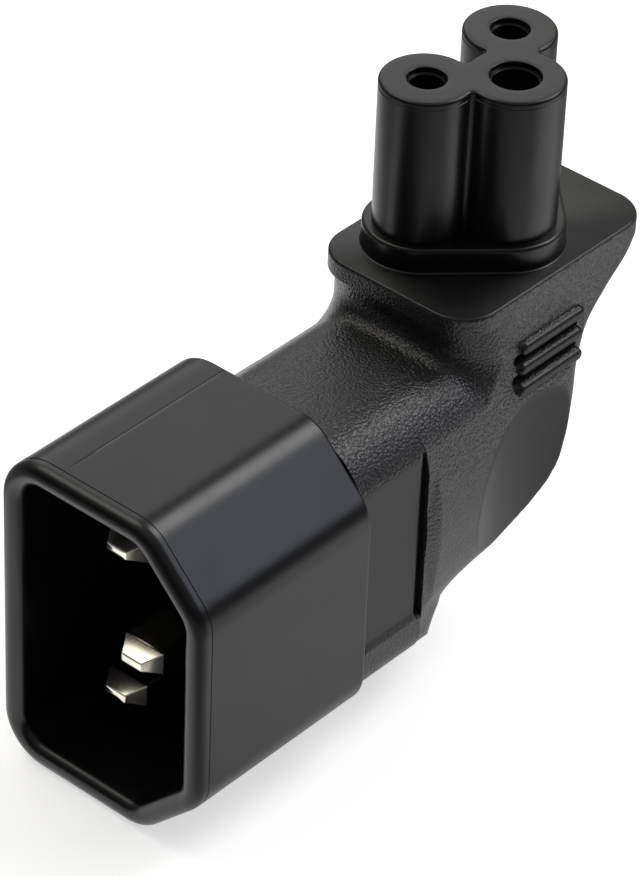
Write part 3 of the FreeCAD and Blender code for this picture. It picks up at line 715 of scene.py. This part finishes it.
def leaning(across, up, degrees):
    """Distance from a plane that leans in by an angle as it goes up: across cos + up sin."""
    lean = math.radians(degrees)
    return across * math.cos(lean) + up * math.sin(lean)


def over_field(x, z, knee):
    """Height over the neck's top, which is crowned by x squared over CROWN. On the right a round leads to a
    side that leans in. On the left a 45 degree bevel does and, with knee, turns into the elbow's side."""
    top = z - NECK_TOP + x * x / CROWN
    right = round_max(top, leaning(x - NECK_SIDE, z - LEAN_Z, SIDE_LEAN), CORNER_ROUND)
    left = soft_max(top, (z - x - UPPER_BEVEL) / math.sqrt(2), BEVEL_EASE)
    if knee:
        left = soft_max(left, leaning(-x - KNEE_SIDE, z - KNEE_HIGH, KNEE_LEAN), KNEE_EASE)
    return np.where(x > 0, right, left)


def under_field(wide, z, knee):
    """Depth under the neck's bottom and lower bevels, which, with knee, turn into the elbow's side."""
    field = soft_max(NECK_BOTTOM - z, (wide - z - LOWER_BEVEL) / math.sqrt(2), BEVEL_EASE)
    if knee:
        field = soft_max(field, leaning(wide - KNEE_SIDE, KNEE_LOW - z, KNEE_LEAN), KNEE_EASE)
    return field


def scoop_side(y, z):
    """Half width that the thumb scoops leave: the floor's, which grows a little with height, and the rise of
    a cylinder, its radius less the root of radius squared less the square of how far y is off its middle."""
    wall = np.sqrt(SCOOP_RADIUS ** 2 - (y - SCOOP_Y) ** 2)
    return SCOOP_FLOOR + SCOOP_LEAN * (z - SCOOP_Z) + SCOOP_RADIUS - wall


def elbow_side(y, z):
    """Half width of the elbow's own side, from its front to its rear value along y, with a strip 1 mm wide
    beside the shoulder that leans in, but not further than the neck's side."""
    front, rear = table_at(z, 2), table_at(z, 3)
    side = front + (rear - front) * (y - SHOULDER) / (table_at(z, 1) - SHOULDER)
    strip = side - STRIP_LEAN * np.clip(1 - (y - SHOULDER), 0, 1)
    return np.minimum(side, np.maximum(NECK_SIDE, strip))


def panel_side(y):
    """Half width at the smooth panel, which falls into a groove along the shoulder by a smooth step."""
    share = np.clip((y - SHOULDER + GROOVE_START) / GROOVE_RUN, 0, 1)
    return PANEL_SIDE - GROOVE_DEPTH * share * share * (3 - 2 * share)


def body_field(points, pocket):
    """Field of the overmould, below nought inside. In front of the shoulder it is the neck, with the panel
    sunk in one side. Behind, it is the sections' side and back with a round corner, hollowed by the scoops,
    cut down over the neck except in the riser, whose foot has a fillet, and joined by the flange. pocket
    sinks the ground under the grip ribs by that depth."""
    x, y, z = points[..., 0], points[..., 1], points[..., 2]
    wide = np.abs(x)
    over = over_field(x, z, False)
    under = soft_max(under_field(wide, z, False), wide - NECK_SIDE, BEVEL_EASE)
    neck = np.where(x > 0, np.maximum(over, under), soft_max(over, under, BEVEL_EASE))
    panel = np.where((z > PANEL_LOW) & (z < PANEL_HIGH), x - panel_side(y), -1)
    neck = np.maximum(neck, panel)
    sunk = pocket * band(y, GRIP_Y[0] + RIM_Y, GRIP_Y[1] - RIM_Y, RIM_EASE)
    sunk = sunk * band(z, GRIP_Z[0] + RIM_LOW, GRIP_Z[1] - RIM_HIGH, RIM_EASE)
    elbow = round_max(wide - elbow_side(y, z) + sunk, y - table_at(z, 1), table_at(z, 4))
    elbow = soft_max(elbow, wide - scoop_side(y, z), SCOOP_EASE)
    down = RISER_TOP - z
    front = RISER_FRONT + down * RISER_FALL / RISER_TALL
    near = RISER_HALF + down * RISER_SPREAD / RISER_TALL - RISER_SPLAY * FLANGE_ROUND
    beside = wide - near - RISER_SPLAY * (y - front)
    riser = round_max((front - y) * TRUE_FRONT, beside * TRUE_SIDE, FLANGE_ROUND)
    cut = round_min(over_field(x, z, True), riser, FOOT_FILLET)
    elbow = np.maximum(np.maximum(elbow, cut), under_field(wide, z, True))
    elbow = np.maximum(elbow, z - FLANGE_LOW)
    middle = (FLANGE_FRONT + FLANGE_BACK) / 2
    plate = round_max(wide - FLANGE_HALF, np.abs(y - middle) - (FLANGE_BACK - middle), FLANGE_ROUND)
    plate = np.maximum(round_max(plate, z - FLANGE_TOP, FLANGE_EDGE), FLANGE_LOW - z)
    return np.where(y < SHOULDER, neck, np.minimum(elbow, plate))


def leaving_points(start, direction, pocket):
    """Where straight rays from inside the overmould leave it, by halving the stretch that holds the
    crossing."""
    near, far = np.zeros(direction.shape[:-1]), np.full(direction.shape[:-1], RAY_LENGTH)
    for _ in range(HALVINGS):
        middle = (near + far) / 2
        inside = body_field(start + direction * middle[..., None], pocket) < 0
        near, far = np.where(inside, middle, near), np.where(inside, far, middle)
    return start + direction * far[..., None]


def body_grid(columns):
    """The overmould as a function of two parameters: how far along a spine that runs back through the neck
    and turns up through the elbow, and the bearing round it. Planes stand across the spine, fan out round
    the riser's foot in the turn, and a ray in each plane finds the surface."""
    degree = math.pi / 180
    neck_y = np.concatenate([
        np.linspace(NECK_FRONT, NECK_FRONT + 0.5, 6), np.linspace(20, SHOULDER - CREASE, 32),
        np.linspace(SHOULDER + CREASE, TURN_Y, 22)])
    fan = np.concatenate([np.linspace(0, 3, 26)[1:], np.linspace(3, 90, 148)[1:]]) * degree
    top_z = np.concatenate([
        np.linspace(TURN_Z, FLANGE_LOW - CREASE, 7)[1:], np.linspace(FLANGE_LOW + CREASE, 17.35, 8),
        FLANGE_TOP - FLANGE_EDGE + FLANGE_EDGE * np.sin(np.linspace(0, 90, 7) * degree)])
    deep = np.interp(fan, np.array([0, 45, 90]) * degree, TURN_DEEP)
    turn = np.concatenate([0 * neck_y, fan, 0 * top_z + math.pi / 2])
    spine_y = np.concatenate([neck_y, TURN_Y + deep * np.sin(fan), 0 * top_z + TURN_Y + TURN_DEEP[-1]])
    spine_z = np.concatenate([0 * neck_y + SPINE_Z, TURN_Z - deep * np.cos(fan), top_z])
    spine = np.stack([0 * turn, spine_y, spine_z], -1)[:, None]
    inward = np.stack([0 * turn, -np.sin(turn), np.cos(turn)], -1)[:, None]
    bearing = np.linspace(0, 2 * math.pi, columns, endpoint=False)[None, :, None]
    direction = inward * np.cos(bearing) + np.array([1.0, 0, 0]) * np.sin(bearing)
    surface = leaving_points(spine, direction, 1.0)
    shares = np.linspace(0, 1, 9)[1:, None, None]
    cap = surface[-1:] + (spine[-1:] - surface[-1:]) * shares
    foot = surface[:1] + (spine[:1] - surface[:1]) * shares[::-1]
    return np.concatenate([foot, surface, cap])


def grain_of(points):
    """1 where the overmould is grained, a fifth less on the neck and the riser's front, and 0 where it is
    smooth: on the panel, in the scoops and on the flange."""
    x, y, z = points[..., 0], points[..., 1], points[..., 2]
    wide = np.abs(x)
    scooped = np.clip((wide - scoop_side(y, z) + 0.1) / 0.1, 0, 1) * (y > SHOULDER)
    panel = (np.abs(x - panel_side(y)) < 0.05) & (z > PANEL_LOW) & (z < PANEL_HIGH) & (y < SHOULDER)
    flange = np.clip((z - FLANGE_TOP + 0.15) / 0.1, 0, 1)
    fine = np.where(y < SHOULDER, 1, np.clip((z - 10) / 1.5, 0, 1) * np.clip((39 - y) / 3, 0, 1))
    return (1 - np.maximum(np.maximum(scooped, panel), flange)) * (1 - 0.2 * fine)


def segment_distance(y, z, start, length, height):
    """Distance in the side's plane from a level stretch of the given start, length and height."""
    along = np.clip(y, start, start + length)
    return np.hypot(y - along, z - height)


def grip_grid(side, rows, columns):
    """Grip on one side as heights over the y, z plane: the elbow's side, slots between the ribs, and ribs
    with round backs. Its rim folds in to a flat back."""
    y, z = np.meshgrid(np.linspace(*GRIP_Y, columns), np.linspace(*GRIP_Z, rows))
    start = np.stack([0 * y, y, z], -1)
    ground = leaving_points(start, np.broadcast_to([1.0, 0, 0], start.shape), 0)[..., 0] - CREASE
    reach = RIB_LENGTH - 2 * RIB_HALF
    rise = np.full(y.shape, -1.0)
    slot = np.full(y.shape, 9.0)
    crest = elbow_side(RIB_Y + RIB_LENGTH / 2, RIB_Z) + RIB_CREST
    for index in range(len(RIB_Z)):
        off = segment_distance(y, z, RIB_Y[index] + RIB_HALF, reach, RIB_Z[index]) / RIB_HALF
        rib = crest[index] - RIB_ROUND * (1 - np.sqrt(np.maximum(1 - off ** 2, 0)))
        rise = np.maximum(rise, np.where(off < 1, rib, -1))
        if index:
            between = (RIB_Z[index] + RIB_Z[index - 1]) / 2
            first = RIB_Y[index] + SLOT_START
            slot = np.minimum(slot, segment_distance(y, z, first, reach + SLOT_EXTRA, between))
    ground = ground - SLOT_DEPTH * np.clip((SLOT_HALF - slot) / SLOT_RUN, 0, 1)
    shape = np.stack([side * np.maximum(ground, rise), y, z], -1)
    rough = 1 - 0.8 * (rise > ground)
    border = np.concatenate([shape[0, :-1], shape[:-1, -1], shape[-1, :0:-1], shape[:0:-1, 0]])
    inner = border * [0, 1, 1] + [side * GRIP_BACK, 0, 0]
    middle = np.broadcast_to([side * GRIP_BACK, np.mean(GRIP_Y), np.mean(GRIP_Z)], inner.shape)
    return shape, np.stack([border, inner, middle]), rough


class ADAPTER_OT_overmould(bpy.types.Operator):
    """Makes the grained overmould: neck, elbow, riser and flange in one skin"""
    bl_idname = "adapter.overmould"
    bl_label = "Overmould"

    def execute(self, context):
        settings = context.scene.adapter
        finish = grained_black("grained_black", settings.finish)
        skin = body_grid(356)
        make_piece("overmould_skin", [(skin, True)], finish, ["body_overmould"], grain_of(skin))
        grids, rough = [], []
        for side in (-1, 1):
            shape, back, value = grip_grid(side, 92, 150)
            grids += [(shape, False), (back, True)]
            rough += [value.ravel(), np.ones(back.shape[0] * back.shape[1])]
        make_piece("grip_ribs", grids, finish, ["body_overmould"], np.concatenate(rough))
        return {"FINISHED"}


class ADAPTER_OT_inner(bpy.types.Operator):
    """Gives the sleeves, wires and jackets inside their finishes"""
    bl_idname = "adapter.inner"
    bl_label = "Inner pieces"

    def execute(self, context):
        finish = context.scene.adapter.finish
        brass = drawn_metal("rolled_brass", finish.brass, 0.28, 0.45)
        copper = drawn_metal("drawn_copper", finish.copper, 0.25, 0.4)
        jackets = {"line": (0.16, 0.07, 0.03), "neutral": (0.03, 0.1, 0.36), "earth": (0.16, 0.32, 0.04)}
        for name, colour in jackets.items():
            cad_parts["contact_" + name].material_slots[0].material = brass
            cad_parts["conductor_" + name].material_slots[0].material = copper
            jacket = jacket_plastic("jacket_" + name, colour)
            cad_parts["insulation_" + name].material_slots[0].material = jacket
        return {"FINISHED"}


def ramp(tree, value, low, high, start, end):
    """Maps a value from low..high to start..end by a smooth step, held outside."""
    ends = {"From Min": low, "From Max": high, "To Min": start, "To Max": end}
    return node(tree, "MapRange", {"Value": value, **ends}, interpolation_type="SMOOTHSTEP").outputs["Result"]


def seen_directly(tree):
    """Two values: 1 for what the camera sees straight or through glass, and 1 for what gloss mirrors."""
    path = node(tree, "LightPath", {}).outputs
    return worked(tree, "MAXIMUM", path["Is Camera Ray"], path["Is Transmission Ray"]), path["Is Glossy Ray"]


def room_light(tree, level):
    """Light of the room by direction: each patch falls from full to nought between two angles from its own
    middle. What the camera sees directly is white."""
    toward = node(tree, "TexCoord", {}).outputs["Generated"]
    light = (0.02, 0.02, 0.02)
    for direction, full, faded, colour in ROOM:
        near = node(tree, "VectorMath", {0: toward, 1: Vector(direction).normalized()},
                    operation="DOT_PRODUCT")
        gone, whole = math.cos(math.radians(faded)), math.cos(math.radians(full))
        patch = ramp(tree, near.outputs["Value"], gone, whole, 0, level)
        added = node(tree, "VectorMath", {0: patch, 1: colour, 2: light}, operation="MULTIPLY_ADD")
        light = added.outputs["Vector"]
    return mixed(tree, seen_directly(tree)[0], light, (1, 1, 1, 1))


def paper_glow(tree, place, level):
    """Strength that lifts the paper to white for the camera, and for reflections in soft round places."""
    straight, mirrored = seen_directly(tree)
    shine = 0.0
    for middle, full, faded, bright in PAPER:
        point = (middle[0] * MM, middle[1] * MM, 0)
        far = node(tree, "VectorMath", {0: place, 1: point}, operation="DISTANCE")
        spot = ramp(tree, far.outputs["Value"], full * MM, faded * MM, bright, 0)
        shine = worked(tree, "ADD", spot, shine)
    both = worked(tree, "MULTIPLY", mirrored, shine)
    return worked(tree, "MULTIPLY_ADD", straight, level, both)


class ADAPTER_OT_stage(bpy.types.Operator):
    """Sets up the pale floor, the soft light and the camera"""
    bl_idname = "adapter.stage"
    bl_label = "Stage"

    def execute(self, context):
        scene, stage = context.scene, context.scene.adapter.stage
        along = np.linspace(-FLOOR_HALF, FLOOR_HALF, FLOOR_STEPS)
        x, y = np.meshgrid(along, along)
        points = np.stack([x, y, 0 * x], -1).reshape(-1, 3)
        mesh = bpy.data.meshes.new("floor")
        mesh.from_pydata(points.tolist(), [], grid_faces(FLOOR_STEPS, FLOOR_STEPS, False).tolist())
        floor = bpy.data.objects.new("floor", mesh)
        scene.collection.objects.link(floor)
        paper, tree, shader, place = new_finish("white_paper")
        tooth = noise(tree, place, 2500.0, 3.0)
        white = tinted(tree, tooth, (FLOOR_WHITE,) * 3, 0.99, 1.01)
        feed(tree, shader, {
            "Base Color": mixed(tree, seen_directly(tree)[0], (FLOOR_GREY, FLOOR_GREY, FLOOR_GREY, 1), white),
            "Emission Strength": paper_glow(tree, place, stage.glow), "Roughness": 0.9,
            "Specular IOR Level": 0.1})
        mesh.materials.append(paper)
        world = bpy.data.worlds.new("studio")
        world.use_nodes = True
        sky = world.node_tree.nodes["Background"]
        world.node_tree.links.new(room_light(world.node_tree, stage.light), sky.inputs["Color"])
        scene.world = world
        right, down = Vector(CAMERA_RIGHT), Vector(CAMERA_DOWN)
        forward = right.cross(down)
        camera = bpy.data.objects.new("camera", bpy.data.cameras.new("camera"))
        turn = Matrix((right, -down, -forward)).transposed().to_4x4()
        camera.matrix_world = Matrix.Translation(Vector(MOUTH) + Vector(CAMERA_PLACE) * MM) @ turn
        camera.data.lens, camera.data.sensor_width = stage.lens, 36.0
        camera.data.shift_x, camera.data.shift_y = CAMERA_SHIFT
        camera.data.clip_start, camera.data.clip_end = 0.01, 20.0
        scene.collection.objects.link(camera)
        scene.camera = camera
        scene.view_settings.view_transform = "Standard"
        return {"FINISHED"}


class ADAPTER_PT_panel(bpy.types.Panel):
    """Lists the adapter's pieces and settings in the sidebar"""
    bl_idname = "ADAPTER_PT_panel"
    bl_label = "Mains adapter"
    bl_space_type = "VIEW_3D"
    bl_region_type = "UI"
    bl_category = "Adapter"

    def draw(self, context):
        for operator in OPERATORS:
            self.layout.operator(operator.bl_idname)
        settings = context.scene.adapter
        for group in (settings.hood, settings.nose, settings.finish, settings.stage):
            box = self.layout.box()
            for name in group.__annotations__:
                box.prop(group, name)


OPERATORS = (ADAPTER_OT_hood, ADAPTER_OT_blades, ADAPTER_OT_nose, ADAPTER_OT_overmould, ADAPTER_OT_inner,
             ADAPTER_OT_stage)
CLASSES = (HoodSettings, NoseSettings, FinishSettings, StageSettings, AdapterSettings, *OPERATORS,
           ADAPTER_PT_panel)


def register():
    """Registers the classes and the scene's settings."""
    for cls in CLASSES:
        bpy.utils.register_class(cls)
    bpy.types.Scene.adapter = PointerProperty(type=AdapterSettings)


def unregister():
    """Takes the settings and classes away again."""
    del bpy.types.Scene.adapter
    for cls in reversed(CLASSES):
        bpy.utils.unregister_class(cls)


def main():
    """Registers the add-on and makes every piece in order."""
    register()
    for operator in OPERATORS:
        group, name = operator.bl_idname.split(".")
        getattr(getattr(bpy.ops, group), name)()


if __name__ == "__main__":
    main()
